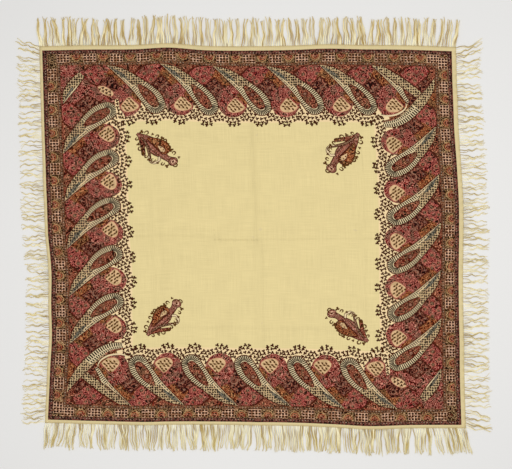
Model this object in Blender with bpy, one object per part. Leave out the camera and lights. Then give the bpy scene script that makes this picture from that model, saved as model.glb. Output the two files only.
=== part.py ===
"""A large fringed wool shawl, spread out flat on the surface that carries it.

The shawl is one rectangle of thin cloth. Its printed panel is the cloth inside the plain margin.
Each plain margin is a narrow strip that carries the fringe of its side.
Every piece is cut from the same flat rectangle and laid by the same function, lay(), so that
the panel and the margins meet along true seams.

Cut coordinates run along the flat cloth in metres: a to the right from the panel's left edge,
b upwards from its bottom edge. Row frame: +X to the right, +Y up the cloth, +Z away from the floor.
"""

import math

import bmesh
import bpy
import numpy as np

MM = 0.001

# The panel inside its margins, measured along the flat cloth
PANEL_WIDTH = 1.648
PANEL_HEIGHT = 1.484
CLOTH_WALL = 0.0015
CELL = 0.078
SEAM_GAP = 0.0003

# Width of the plain margin outside the print on each side
MARGIN = {"top": 0.022, "right": 0.018, "bottom": 0.018, "left": 0.016}

# Where the panel's four corners lie once it is spread out, in millimetres from the row's origin
CORNER_MM = {
    "bottom_left": (-828, -736),
    "bottom_right": (825, -757),
    "top_left": (-851, 740),
    "top_right": (786, 737),
}

# How far each edge bows out of the straight line between its corners, in millimetres.
# share runs left to right on the top and bottom edges, and top to bottom on the left and right edges.
EDGE_COLUMNS = ("share", "top", "right", "bottom", "left")
EDGE_BOW_MM = (
    (0.00, 0, 0, 0, 0),
    (0.12, 4, 0, 3, -2),
    (0.23, 6, 3, 4, -4),
    (0.30, 12, 8, 1, -6),
    (0.40, 2, 12, -1, -9),
    (0.50, 1, 10, -1, -12),
    (0.61, 4, 4, 0, -24),
    (0.69, 9, 2, 4, -20),
    (0.77, 7, 1, 9, -21),
    (0.88, 6, -1, 3, -11),
    (1.00, 0, 0, 0, 0),
)

# Storage folds: the shawl was folded in four each way, and each fold left a low ridge
FOLD_SHARES = (0.255, 0.505, 0.757)
FOLD_HEIGHT = {"upright": (0.0018, 0.0034, 0.0018), "level": (0.0022, 0.0038, 0.0028)}
FOLD_REACH = 0.020

# Soft waves where an edge lifts off the floor. along is a share of the side, the rest millimetres.
WAVE_COLUMNS = ("side", "along", "half_length", "reach_in", "height")
WAVES = (
    ("top", 0.10, 95, 110, 5.0),
    ("top", 0.31, 120, 190, 8.0),
    ("top", 0.71, 150, 170, 7.0),
    ("bottom", 0.23, 110, 120, 5.5),
    ("bottom", 0.50, 90, 90, 4.0),
    ("bottom", 0.78, 130, 180, 7.5),
    ("left", 0.14, 90, 100, 4.5),
    ("left", 0.39, 120, 170, 7.5),
    ("left", 0.63, 100, 130, 6.0),
    ("right", 0.20, 90, 100, 4.5),
    ("right", 0.58, 140, 180, 7.0),
    ("right", 0.86, 90, 110, 5.0),
)

# Fringe: thick twisted locks at the top and bottom, thin crimped yarns at the left and right
FRINGE_COLUMNS = ("side", "strands", "length", "wide", "high", "sway", "lean_start", "lean_end")
FRINGE = (
    ("top", 66, 0.100, 0.0090, 0.0032, 0.0030, -0.20, 0.16),
    ("bottom", 66, 0.100, 0.0090, 0.0032, 0.0030, -0.30, 0.30),
    ("left", 59, 0.092, 0.0048, 0.0024, 0.0050, -0.10, 0.22),
    ("right", 59, 0.098, 0.0048, 0.0024, 0.0050, -0.12, 0.34),
)
STRAND_STEPS = 4
STRAND_CLEARANCE = 0.0006
TIP_SHARE = 0.45
LENGTH_SPREAD = 0.07
LEAN_SPREAD = 0.045
LEAN_FADE = 0.14
END_INSET = 0.006
STRAND_SEED = 11

CLOTH_COLOUR = (0.76, 0.66, 0.36, 1.0)
PRINT_COLOUR = (0.30, 0.075, 0.055, 1.0)


def column(rows, names, name):
    """One named column of a table, as an array."""
    return np.array([row[names.index(name)] for row in rows], dtype=float)


def smooth_through(places, values, at):
    """A smooth curve through the points (places, values), read at the given places.

    Each stretch is a cubic whose end slopes are the slopes between the neighbouring points.
    """
    slopes = np.gradient(values, places)
    at = np.clip(at, places[0], places[-1])
    index = np.clip(np.searchsorted(places, at) - 1, 0, len(places) - 2)
    span = places[index + 1] - places[index]
    share = (at - places[index]) / span
    start, end = values[index], values[index + 1]
    rise = start + (end - start) * share**2 * (3 - 2 * share)
    turn = slopes[index] * share * (1 - share) ** 2 - slopes[index + 1] * share**2 * (1 - share)
    return rise + span * turn


def edge_bow(side, share):
    """How far an edge bows outwards at a share of its length, in metres."""
    places = column(EDGE_BOW_MM, EDGE_COLUMNS, "share")
    return smooth_through(places, column(EDGE_BOW_MM, EDGE_COLUMNS, side), share) * MM


def bump(distance, reach):
    """A smooth ridge: 1 at its crest, and exactly 0 from its reach outwards."""
    return np.cos(np.clip(np.abs(distance) / reach, 0, 1) * math.pi / 2) ** 2


def lift(a, b):
    """How high the cloth's underside stands off the floor at cut coordinates a, b."""
    height = np.zeros(np.broadcast(a, b).shape)
    for share, upright, level in zip(FOLD_SHARES, FOLD_HEIGHT["upright"], FOLD_HEIGHT["level"]):
        height = np.maximum(height, upright * bump(a - share * PANEL_WIDTH, FOLD_REACH))
        height = np.maximum(height, level * bump(b - share * PANEL_HEIGHT, FOLD_REACH))
    for side, along, half_length, reach_in, crest in WAVES:
        across_top = side in ("top", "bottom")
        run = a - along * PANEL_WIDTH if across_top else b - along * PANEL_HEIGHT
        inwards = {"top": PANEL_HEIGHT - b, "bottom": b, "left": a, "right": PANEL_WIDTH - a}[side]
        wave = bump(run, half_length * MM) * bump(np.maximum(inwards, 0), reach_in * MM)
        height = height + crest * MM * wave
    return height


def lay(a, b):
    """The place on the floor of cut coordinates a, b, and the height of the underside there."""
    u, v = a / PANEL_WIDTH, b / PANEL_HEIGHT
    inside_u, inside_v = np.clip(u, 0, 1), np.clip(v, 0, 1)
    weights = {
        "bottom_left": (1 - u) * (1 - v),
        "bottom_right": u * (1 - v),
        "top_left": (1 - u) * v,
        "top_right": u * v,
    }
    x = sum(weights[name] * CORNER_MM[name][0] * MM for name in weights)
    y = sum(weights[name] * CORNER_MM[name][1] * MM for name in weights)
    y = y + inside_v * edge_bow("top", inside_u) - (1 - inside_v) * edge_bow("bottom", inside_u)
    x = x + inside_u * edge_bow("right", 1 - inside_v) - (1 - inside_u) * edge_bow("left", 1 - inside_v)
    return x, y, lift(a, b)


def panel_lines(way):
    """Where the panel's lines run, across or up the cloth: even cells, and five lines over each fold."""
    length = PANEL_WIDTH if way == "across" else PANEL_HEIGHT
    even = np.linspace(0, length, round(length / CELL) + 1)
    folds = [share * length + step * FOLD_REACH for share in FOLD_SHARES for step in (-1, -0.5, 0, 0.5, 1)]
    clear = [place for place in even if min(abs(place - line) for line in folds) > 0.6 * FOLD_REACH]
    return np.array(sorted(clear + folds))


def new_object(name, points, faces, colour):
    """One closed mesh object with its own material, its faces pointing outwards."""
    mesh = bpy.data.meshes.new(name)
    mesh.from_pydata(points, [], faces)
    shape = bmesh.new()
    shape.from_mesh(mesh)
    bmesh.ops.recalc_face_normals(shape, faces=shape.faces)
    shape.to_mesh(mesh)
    shape.free()
    material = bpy.data.materials.new(name)
    material.use_nodes = True
    shader = material.node_tree.nodes["Principled BSDF"]
    shader.inputs["Base Color"].default_value = colour
    shader.inputs["Roughness"].default_value = 0.9
    shader.inputs["Metallic"].default_value = 0.0
    mesh.materials.append(material)
    made = bpy.data.objects.new(name, mesh)
    bpy.context.scene.collection.objects.link(made)
    return made


def printed_panel():
    """The cloth inside the margins: a grid of two faces, joined round the rim."""
    across, up = panel_lines("across"), panel_lines("up")
    a, b = np.meshgrid(across, up)
    x, y, low = lay(a, b)
    under = np.stack([x, y, low], axis=-1).reshape(-1, 3)
    over = under + (0, 0, CLOTH_WALL)
    columns, rows = len(across), len(up)
    index = np.arange(rows * columns).reshape(rows, columns)
    quads = np.stack([index[:-1, :-1], index[:-1, 1:], index[1:, 1:], index[1:, :-1]], axis=-1).reshape(-1, 4)
    rim = np.concatenate([index[0, :-1], index[:-1, -1], index[-1, :0:-1], index[:0:-1, 0]])
    following = np.roll(rim, -1)
    count = rows * columns
    wall = np.stack([rim, following, following + count, rim + count], axis=-1)
    faces = np.concatenate([quads[:, ::-1], quads + count, wall])
    return new_object("printed_panel", np.concatenate([under, over]).tolist(), faces.tolist(), PRINT_COLOUR)


def on_side(side, along, out):
    """Cut coordinates of a point out beyond the panel's edge, at a distance along that side."""
    along, out = np.broadcast_arrays(np.asarray(along, float), np.asarray(out, float))
    return {
        "top": (along, PANEL_HEIGHT + out),
        "bottom": (along, -out),
        "left": (-out, along),
        "right": (PANEL_WIDTH + out, along),
    }[side]


def side_run(side):
    """Where a margin starts and ends along its side. Top and bottom margins hold the corners."""
    if side in ("top", "bottom"):
        return -MARGIN["left"], PANEL_WIDTH + MARGIN["right"]
    return 0.0, PANEL_HEIGHT


def strand_rings(side, centre, root, length, wide, high, sway, lean, phase):
    """The rings of one strand, from just beyond its root to its tip, each with four corners.

    The strand leans by lean, waves sideways by sway, narrows towards its tip, and sinks from the
    margin's height to just above the floor.
    """
    outside = MARGIN[side]
    place = np.array(lay(*on_side(side, centre, outside)))
    step = 0.001
    outwards = np.array(lay(*on_side(side, centre, outside + step))) - place
    alongside = np.array(lay(*on_side(side, centre + step, outside))) - place
    outwards[2] = alongside[2] = 0
    outwards /= np.linalg.norm(outwards)
    alongside /= np.linalg.norm(alongside)
    rings = []
    for number in range(1, STRAND_STEPS + 1):
        share = number / STRAND_STEPS
        drift = lean * length * share + sway * math.sin(2 * math.pi * share + phase) * share
        middle = place + outwards * length * share * math.sqrt(1 - min(lean * lean, 0.5)) + alongside * drift
        half = 0.5 * (wide + (root - wide) * (1 - share) ** 2) * (1 - (1 - TIP_SHARE) * share**3)
        floor = STRAND_CLEARANCE + place[2] * (1 - share) ** 2
        top = floor + high * (1 - (1 - TIP_SHARE) * share**3)
        corners = [(-half, floor), (half, floor), (half, top), (-half, top)]
        rings.append([(*(middle + alongside * across)[:2], height) for across, height in corners])
    return rings


def zip_between(first, first_places, second, second_places):
    """Triangles between two rows of points that run the same way, taking the nearer next point each time."""
    faces, i, j = [], 0, 0
    while i < len(first) - 1 or j < len(second) - 1:
        next_first = first_places[i + 1] if i < len(first) - 1 else math.inf
        next_second = second_places[j + 1] if j < len(second) - 1 else math.inf
        if next_first <= next_second:
            faces.append([first[i], first[i + 1], second[j]])
            i += 1
        else:
            faces.append([first[i], second[j + 1], second[j]])
            j += 1
    return faces


def seam_places(side):
    """Where the margin's inner edge has points: the panel's own lines, and the ends of the margin."""
    start, end = side_run(side)
    lines = panel_lines("across" if side in ("top", "bottom") else "up")
    return np.unique(np.concatenate([[start], lines, [end]]))


def fringed_margin(row, random):
    """A plain margin strip with its fringe: one closed wall whose outer side grows the strands."""
    side, strands, length, wide, high, sway, lean_start, lean_end = row
    start, end = side_run(side)
    pitch = (end - start - 2 * END_INSET) / strands
    centres = start + END_INSET + pitch * (np.arange(strands) + 0.5)
    roots = np.stack([centres - wide / 2, centres + wide / 2], axis=-1)
    outer_places = np.concatenate([[start], roots.ravel(), [end]])
    inner_places = seam_places(side)
    points, edges = [], []
    for places, out in ((inner_places, SEAM_GAP), (outer_places, MARGIN[side])):
        x, y, low = lay(*on_side(side, places, out))
        for height in (low, low + CLOTH_WALL):
            edges.append(range(len(points), len(points) + len(places)))
            points += np.stack([x, y, height], axis=-1).tolist()
    inner_low, inner_high, outer_low, outer_high = edges
    faces = zip_between(inner_high, inner_places, outer_high, outer_places)
    faces += zip_between(outer_low, outer_places, inner_low, inner_places)
    faces += [[inner_low[k], inner_low[k + 1], inner_high[k + 1], inner_high[k]] for k in range(len(inner_places) - 1)]
    for k in (0, -1):
        faces.append([inner_low[k], inner_high[k], outer_high[k], outer_low[k]])
    for number in range(len(outer_places) - 1):
        ring = [outer_low[number], outer_low[number + 1], outer_high[number + 1], outer_high[number]]
        is_root = number % 2 == 1
        if not is_root:
            faces.append(ring)
            continue
        centre = centres[number // 2]
        share = (centre - start) / (end - start)
        lean = lean_start * max(0, 1 - share / LEAN_FADE) + lean_end * max(0, 1 - (1 - share) / LEAN_FADE)
        lean += random.uniform(-LEAN_SPREAD, LEAN_SPREAD)
        reach = length * random.uniform(1 - LENGTH_SPREAD, 1 + LENGTH_SPREAD)
        phase = random.uniform(0, 2 * math.pi)
        for following in strand_rings(side, centre, wide, reach, wide, high, sway, lean, phase):
            new_ring = range(len(points), len(points) + 4)
            points += following
            faces += [[ring[k], ring[(k + 1) % 4], new_ring[(k + 1) % 4], new_ring[k]] for k in range(4)]
            ring = new_ring
        faces.append(list(ring))
    return new_object(f"margin_fringe_{side}", points, faces, CLOTH_COLOUR)


def centre_over_origin(pieces):
    """Moves every piece so that the origin is under the middle of the whole shawl."""
    corners = np.array([vertex.co for piece in pieces for vertex in piece.data.vertices])
    middle = (corners.min(axis=0) + corners.max(axis=0)) / 2
    for piece in pieces:
        for vertex in piece.data.vertices:
            vertex.co.x -= middle[0]
            vertex.co.y -= middle[1]


def main():
    """Builds the shawl in an empty scene."""
    for old in list(bpy.data.objects):
        bpy.data.objects.remove(old)
    random = np.random.default_rng(STRAND_SEED)
    pieces = [printed_panel()] + [fringed_margin(row, random) for row in FRINGE]
    centre_over_origin(pieces)


main()
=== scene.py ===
"""A fringed wool shawl with a printed paisley border, spread out flat: its looks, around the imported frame.

The cloth is one thin sheet. Its print is drawn first, flat, as outlines worked out from a few sizes,
in a square of STEPS by STEPS where one step is 4 mm across the cloth. The four sides of the border are
the same drawing, each turned a quarter. The outlines then cut the sheet's own faces, and each face
takes the ink of the uppermost outline round it, so the print is part of the cloth and has clean edges.
The sheet is laid on the floor by the same rule as the solids. Two kinds of fringe grow out of its edges.
"""

import logging
import math
from dataclasses import dataclass, field
from enum import Enum

import bpy
import numpy as np
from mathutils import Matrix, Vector
from mathutils.geometry import delaunay_2d_cdt


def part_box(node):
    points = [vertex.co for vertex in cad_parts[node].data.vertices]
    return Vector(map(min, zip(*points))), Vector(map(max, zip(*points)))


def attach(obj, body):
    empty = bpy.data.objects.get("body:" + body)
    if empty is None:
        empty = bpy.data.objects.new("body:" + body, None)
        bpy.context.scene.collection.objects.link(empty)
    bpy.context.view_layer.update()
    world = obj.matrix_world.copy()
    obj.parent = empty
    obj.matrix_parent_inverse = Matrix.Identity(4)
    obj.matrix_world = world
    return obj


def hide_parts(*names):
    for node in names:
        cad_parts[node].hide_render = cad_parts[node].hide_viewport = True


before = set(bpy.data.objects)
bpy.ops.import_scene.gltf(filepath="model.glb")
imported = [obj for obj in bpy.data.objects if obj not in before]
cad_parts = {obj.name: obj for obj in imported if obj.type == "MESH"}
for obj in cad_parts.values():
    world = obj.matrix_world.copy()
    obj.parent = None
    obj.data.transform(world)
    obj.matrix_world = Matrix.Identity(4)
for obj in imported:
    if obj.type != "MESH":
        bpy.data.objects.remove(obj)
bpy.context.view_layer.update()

LOG = logging.getLogger("shawl")
MM = 0.001
STEP = 0.004
STEPS = 412.0
PHOTO_WIDTH = 512
Array = np.ndarray
Socket = bpy.types.NodeSocket


class Side(Enum):
    """The four sides of the cloth, as the photo shows them."""

    TOP = "top"
    RIGHT = "right"
    BOTTOM = "bottom"
    LEFT = "left"


LEVEL, UPRIGHT = (Side.TOP, Side.BOTTOM), (Side.RIGHT, Side.LEFT)


@dataclass(frozen=True)
class Ink:
    """One printed colour on wool, with the small hand-cut marks inside it.

    Args:
        name: the material's name.
        ground: the ink's own colour, as sRGB hex.
        marks: the colour of the small dark spots, or nothing.
        veins: the colour of the thin pale lines between the spots, or nothing.
        other: the ground colour of about every third patch, or nothing.
        pitch: the distance between spots, in mm.
        spot: a spot's radius as a share of the pitch.
        line: half the width of a pale line as a share of the pitch.
        jitter: how unevenly the spots are set, from 0 to 1.
        curls: how far the dark and pale lines curl, as their number in each 25 mm, or 0 for spots.
    """

    name: str
    ground: str
    marks: str = ""
    veins: str = ""
    other: str = ""
    pitch: float = 10.0
    spot: float = 0.33
    line: float = 0.10
    jitter: float = 1.0
    curls: float = 0.0


class Inks(Enum):
    """Every ink of the print, the plain cloth of the margin and the field first."""

    MARGIN = Ink("cream_wool_margin", "D8C695")
    WOOL = Ink("plain_cream_wool", "DECC94")
    MAROON = Ink("printed_wool_maroon_line", "704034", "200F08", "", "5E342A", pitch=9.6, spot=0.36)
    OLIVE = Ink("printed_wool_olive", "503618", "120902", "B8946C", "5E2C18", pitch=11.0, curls=5.0)
    CHECK = Ink("printed_wool_check_lattice", "DCB090", "704430", "", "A07456", pitch=9.0, spot=0.25)
    HOLE = Ink("printed_wool_check_hole", "2A1409", "", "", "42240D", pitch=9.0)
    CUP = Ink("printed_wool_cup_orange", "AE6242", "", "", "98442C", pitch=12.0)
    YOLK = Ink("printed_wool_cup_yellow", "B48A5C", "", "", "94643C", pitch=12.0)
    LINE = Ink("printed_wool_inner_line", "664029", "24120A", "", "7C5036", pitch=10.0, spot=0.30)
    DOT = Ink("printed_wool_pale_dot", "96806A")
    CRIMSON = Ink("printed_wool_crimson", "8C2C24", "200803", "CA8A76", "5A3822", pitch=13.0, curls=5.8)
    ROSE = Ink("printed_wool_rose", "8E2826", "210A05", "C47E6C", "5A3822", pitch=14.0, curls=5.6)
    PINK = Ink("printed_wool_pink", "B06A56", "642E24", "", "94483A", pitch=9.0, spot=0.22)
    MOSS = Ink("printed_wool_moss", "503822", "241108", "A88064", pitch=8.0, spot=0.25, line=0.08)
    ORANGE = Ink("printed_wool_orange_brown", "863A1A", "240B04", "BC8254", "56351A", pitch=13.0, curls=5.2)
    DIAMOND = Ink("printed_wool_dark_diamond", "48160E", "180603", "9C604A", pitch=12.0, curls=4.0)
    BLUSH = Ink("printed_wool_blush", "946A54", "4C261A", "", "745042", pitch=8.0, spot=0.20)
    WINDOW = Ink("printed_wool_window_cream", "D4B084", "", "", "C0A074", pitch=9.4)
    BAND = Ink("printed_wool_band_cream", "C8AC80", "180A04", "", "B69672", pitch=9.6, spot=0.40, jitter=0.25)
    HEART = Ink("printed_wool_heart_red", "7A2A1A", "1F0903", "C08262", "50341C", pitch=12.0, curls=5.4)
    FEATHER = Ink("printed_wool_feather_brown", "8E4C3A", "3E180C", "C0907A", "744E34", pitch=9.0, curls=6.5)
    TEAL = Ink("printed_wool_teal", "54564C", "22221C", "A08A70", "48463A", pitch=10.0, spot=0.30, line=0.05)
    OUTLINE = Ink("printed_wool_dark_outline", "4A1C0E")
    CREAM = Ink("printed_wool_cream_line", "DEC89E")
    SPRIG = Ink("printed_wool_sprig", "401D08")
    HOOK = Ink("printed_wool_hook_brown", "54320F")
    BAR = Ink("printed_wool_dark_bar", "1C120A")
    PEACH = Ink("cream_wool_under_sprigs", "EACF9F")


def smooth_line(points: Array, per: int = 4, closed: bool = False) -> Array:
    """A smooth curve through the points: between two of them, a cubic whose end slopes are half the
    step between each one's neighbours.

    Args:
        points: the points to pass through, one row each, of any number of columns.
        per: how many points to make between two of them.
        closed: whether the curve comes back to its first point.

    Returns:
        The points of the curve.
    """
    p = np.asarray(points, float)
    if closed:
        q, spans = np.concatenate([p[-1:], p, p[:2]]), len(p)
    else:
        q, spans = np.concatenate([2 * p[:1] - p[1:2], p, 2 * p[-1:] - p[-2:-1]]), len(p) - 1
    t = (np.arange(per) / per)[None, :, None]
    a, b, c, d = (q[k : spans + k][:, None] for k in range(4))
    curve = 0.5 * (2 * b + (c - a) * t + (2 * a - 5 * b + 4 * c - d) * t**2 + (3 * b - a - 3 * c + d) * t**3)
    curve = curve.reshape(-1, p.shape[1])
    return curve if closed else np.concatenate([curve, p[-1:]])


def disc(centre: tuple[float, float], radius: float, sides: int = 8, turn: float = 0.0) -> Array:
    """A regular outline round a centre: centre plus radius times the cosine and sine of each angle."""
    angle = np.linspace(0, 2 * math.pi, sides, endpoint=False) + turn
    return np.stack([centre[0] + radius * np.cos(angle), centre[1] + radius * np.sin(angle)], axis=1)


def box(left: float, near: float, right: float, far: float) -> Array:
    """A rectangle between two corners."""
    return np.array([(left, near), (right, near), (right, far), (left, far)])


class Leaf:
    """A curved shape with a pointed tip and a round head, such as a boteh, given by its middle line.

    Args:
        rows: along the middle line from tip to head, the two coordinates and the half width there.
        per: how many points to make between two rows.
    """

    HATCH_INSETS, HATCH_HEAD, HATCH_TAPER = (0.4, 1.4), 12, 0.65

    def __init__(self, rows: tuple, per: int = 4) -> None:
        """Works out the smooth middle line, its half widths, its directions and its normals."""
        line = smooth_line(np.array(rows), per)
        self.spine, self.half = line[:, :2], np.maximum(line[:, 2], 0.02)
        run = np.gradient(self.spine, axis=0)
        self.direction = run / np.linalg.norm(run, axis=1)[:, None]
        self.normal = np.stack([self.direction[:, 1], -self.direction[:, 0]], axis=1)

    def outline(self, grow: float = 0.0, cap: int = 6) -> Array:
        """The whole outline: the middle line moved out to each side by the half width plus grow, and
        a half circle round its last point.
        """
        reach = self.normal * (self.half + grow)[:, None]
        turn = np.linspace(0, math.pi, cap + 2)[1:-1, None]
        head = np.cos(turn) * self.normal[-1] + np.sin(turn) * self.direction[-1]
        head = self.spine[-1] + (self.half[-1] + grow) * head
        return np.concatenate([self.spine + reach, head, (self.spine - reach)[::-1]])

    def at(self, along: Array, across: float) -> Array:
        """Points at shares of the length, and at a share across: 1 on one edge, -1 on the other."""
        place, index = np.asarray(along) * (len(self.spine) - 1), np.arange(len(self.spine))
        line = [np.interp(place, index, self.spine[:, k]) for k in (0, 1)]
        out = [np.interp(place, index, self.normal[:, k] * self.half) for k in (0, 1)]
        return np.stack([line[k] + across * out[k] for k in (0, 1)], axis=1)

    def hatch(self, first: float, last: float, deep: tuple, pitch: float, thick: float) -> Array:
        """Thin bars that run inwards from just inside the outline and narrow by a third.

        Args:
            first: where they start, as a share of the way round the outline.
            last: where they end.
            deep: their length at the start, halfway and at the end.
            pitch: the distance between them.
            thick: half a bar's thickness.

        Returns:
            The bars' corners, as (bars, 4, 2).
        """
        rim, inner = (self.outline(-inset, self.HATCH_HEAD) for inset in self.HATCH_INSETS)
        run = np.concatenate([[0], np.cumsum(np.linalg.norm(np.diff(rim, axis=0), axis=1))])
        places = np.arange(first * run[-1], last * run[-1], pitch)
        lines = (rim, inner - rim)
        base, way = (np.stack([np.interp(places, run, line[:, k]) for k in (0, 1)], axis=1) for line in lines)
        way /= np.linalg.norm(way, axis=1)[:, None]
        side = np.stack([way[:, 1], -way[:, 0]], axis=1) * thick
        far = base + way * np.interp(places / run[-1], np.linspace(first, last, 3), deep)[:, None]
        narrow = self.HATCH_TAPER * side
        return np.stack([base - side, base + side, far + narrow, far - narrow], axis=1)

    def ribbon(self, start: float, end: float, low: float, high: float, count: int = 8) -> Array:
        """A stripe inside the shape, between two shares along it and two shares across it."""
        along = np.linspace(start, end, count)
        return np.concatenate([self.at(along, low), self.at(along[::-1], high)])


class Chart:
    """The outlines of the print, charted in steps.

    Each point is (along, depth) of a side. Depth runs inwards from the print's outer edge. Along runs
    from the corner where the side starts or, within a repeat, from its cream window. The rows of a
    leaf also give half its width there.
    """

    CORNER_MASS = (
        (17.7, 17.6), (67.7, 17.8), (85.7, 46), (82, 52), (75.7, 53.9), (69.7, 62), (57.7, 64), (49.7, 66),
        (33.7, 71.7), (17.7, 66),
    )
    CORNER_FILL = ((47, 25), (40, 17.8), (64.5, 17.8), (62, 23), (56, 28))
    FAR_CORNER = ((368, 17.7), (394.3, 17.7), (394.3, 36), (386, 42), (376, 30))
    SWEEP = (
        (31.1, 18, 0.3), (42.8, 22.5, 3.2), (55.6, 31.2, 5.0), (66.4, 40.0, 5.3), (75.4, 49.6, 5.2),
        (81.0, 60.0, 4.7), (82.8, 71.4, 3.2),
    )
    ARM = ((20.0, 74.0, 3.0), (30.4, 59.6, 3.9), (39.0, 48.0, 4.1), (50.5, 34.0, 4.0))
    CRESCENT = (
        (60.6, 46.8, 0.3), (66.6, 49.8, 0.7), (71.6, 56.8, 0.9), (73.6, 65.0, 0.9), (73.2, 72.0, 0.7),
        (71.0, 77.5, 0.3),
    )
    CUT_OFF = (
        (351.7, 19.5, 0.3), (360.6, 22.3, 3.2), (370.6, 28.0, 4.9), (378.0, 33.6, 4.6), (384.5, 38.5, 3.4),
    )
    PATCH_SHADE = ((61.5, 31), (70, 29.5), (77, 41.5), (71, 47.5), (59.5, 37.5))
    PATCH_MIDDLE, PATCH_HALF, PATCH_SLANT, PATCH_RIM = (62.2, 46.6), (8.6, 4.2), 0.55, 1.13
    PATCH_MARKS, PATCH_MARK_SIZE, PATCH_SPRIG_SIZE = (-6.2, 7.0, 2.0), 1.5, 1.7
    GAP = (
        (71, 57.5), (73, 55), (75, 57), (75, 62), (76, 67), (78.4, 71), (80, 75), (77, 80), (73, 77),
        (71.8, 67),
    )
    GAP_SPRIGS = (
        (73.2, 57.2), (73.4, 60.8), (73.4, 64.6), (74.6, 68.0), (74.2, 71.8), (77.0, 72.4), (75.4, 75.8),
        (78.2, 76.4),
    )

    # The check square: its half width and two depths, half a hole's size, and where the holes are
    CHECK, CHECK_HOLE = (6.3, 4.8, 14.0), (1.15, 1.1)
    CHECK_COLUMNS, CHECK_ROWS = np.arange(4) * 3.15 - 4.7, np.arange(3) * 3.0 + 6.35
    # The rosette: half the width, the height and the thickness of each cup, and the cups' and bud's depths
    CUPS, CUP_DEPTH, BUD_DEPTH = ((5.4, 8.0, 0.75), (4.0, 5.9, 0.9), (2.4, 3.6, 0.8)), 4.9, 6.0

    FILL = ((-62, 17.6), (-20, 17.6), (-30, 36), (-50, 30))
    UPPER_RIM = ((-47, 26.0), (-40, 19.5), (-32, 17.0), (-18, 17.2), (-14, 24), (-28, 43), (-38, 38))
    UPPER_LOBE = ((-45, 27), (-38, 20), (-32, 18), (-19, 18), (-16, 24), (-19, 30), (-29, 41), (-38, 36))
    UPPER_EYES = ((-36.5, 27.5, 3.4), (-28.5, 20.8, 2.9), (-22.5, 27.2, 3.2), (-30.2, 34.5, 3.3))
    SLOPE = ((-18, 22), (-8, 28), (8, 40), (12, 54), (4, 56), (-24, 33))
    DIAMOND_RIM = ((-30.5, 40.2), (-19.2, 29.4), (-6.6, 44.1), (-17, 58.6))
    DIAMOND = ((-29.2, 40.3), (-19.2, 30.9), (-7.9, 44.1), (-17, 57))
    DIAMOND_SPOTS = ((-25, 39.8), (-19.8, 34.6), (-14.6, 39.2), (-10.8, 44.0), (-16.8, 53.0), (-21.6, 46.0))
    NECK = ((-16, 50), (-10, 42), (2, 37.5), (10, 42), (12, 54), (0, 62))
    SHOULDER = ((3, 50.5), (8, 46), (12.5, 54), (12.5, 60), (8, 58))
    WINDOW = (
        (1.0, 53.4), (6.0, 58.2), (10.6, 63.6), (7.0, 67.8), (1.6, 69.6), (-3.9, 69.2), (-7.0, 66.0),
        (-7.0, 62.4), (-3.9, 57.8),
    )
    WINDOW_MIDDLE, WINDOW_RIM = (1.0, 62.5), 1.11
    # Its marks: first and last places and pitch both ways, how near the rim they come, half their size
    MARK_COLUMNS, MARK_ROWS, MARK_REACH, MARK = (-6.6, 11.0, 3.9), (55.0, 70.0, 2.7), 0.88, (2.1, 1.1)
    BOTEH = (
        (-20.0, 17.8, 0.2), (-8.0, 24.5, 4.3), (2.5, 33.0, 6.2), (11.0, 41.2, 7.6), (19.0, 49.8, 9.4),
        (24.6, 57.5, 10.1), (27.4, 63.2, 9.6),
    )
    HEART = ((10.4, 39.6, 0.3), (14.6, 44.8, 3.1), (19.8, 51.8, 4.6), (24.2, 58.2, 4.4), (26.8, 62.2, 3.3))
    TEAL = ((-17.5, 19.9, 0.2), (-11.0, 24.3, 1.3), (-5.0, 28.9, 1.9), (0.8, 34.2, 0.6))

    MOTIF_MIDDLE, MOTIF_STRETCH = (112, 107), ((1.1, -0.1), (-0.1, 1.1))
    BODY = (
        (94.0, 91.5, 1.0), (101.0, 97.0, 3.6), (109.0, 103.8, 5.8), (114.8, 110.2, 6.2), (119.4, 115.6, 3.6),
        (123.4, 119.4, 2.5), (127.8, 121.8, 3.0),
    )
    HULL = (
        (94.0, 91.0, 1.2), (101.0, 97.6, 5.8), (108.4, 105.0, 9.2), (114.8, 111.2, 9.8), (120.6, 116.6, 7.2),
        (128.0, 121.6, 5.8),
    )
    FLANKS = (
        ((96.2, 95.6, 0.3), (99.8, 103.6, 1.4), (101.8, 113.0, 1.4)),
        ((97.6, 95.4, 0.2), (103.2, 102.6, 0.8), (106.4, 110.8, 0.9), (108.6, 120.4, 0.5)),
        (
            (106.6, 115.6, 0.3), (108.6, 120.6, 0.9), (112.4, 122.8, 1.0), (116.2, 121.4, 0.9),
            (116.4, 118.0, 0.8),
        ),
    )
    LOOP = ((103.5, 97.4, 0.6), (111.5, 101.6, 3.4), (118.6, 106.8, 4.9), (121.2, 111.0, 4.5))
    HOLLOW = ((114.4, 106.4, 0.3), (117.4, 109.0, 1.6), (119.2, 111.4, 1.9))
    HOLLOW_SPOTS = ((117.2, 108.2), (119.6, 110.6), (118.6, 112.8))
    VEINS, RING = (-0.66, -0.36, -0.08, 0.2, 0.5, 0.76), (129.4, 123.2)
    HOOK = ((-1.2, -0.6, 0.4), (1.1, -1.1, 0.6), (2.0, 0.6, 0.65), (0.8, 1.8, 0.55), (-0.4, 1.2, 0.4))


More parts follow.
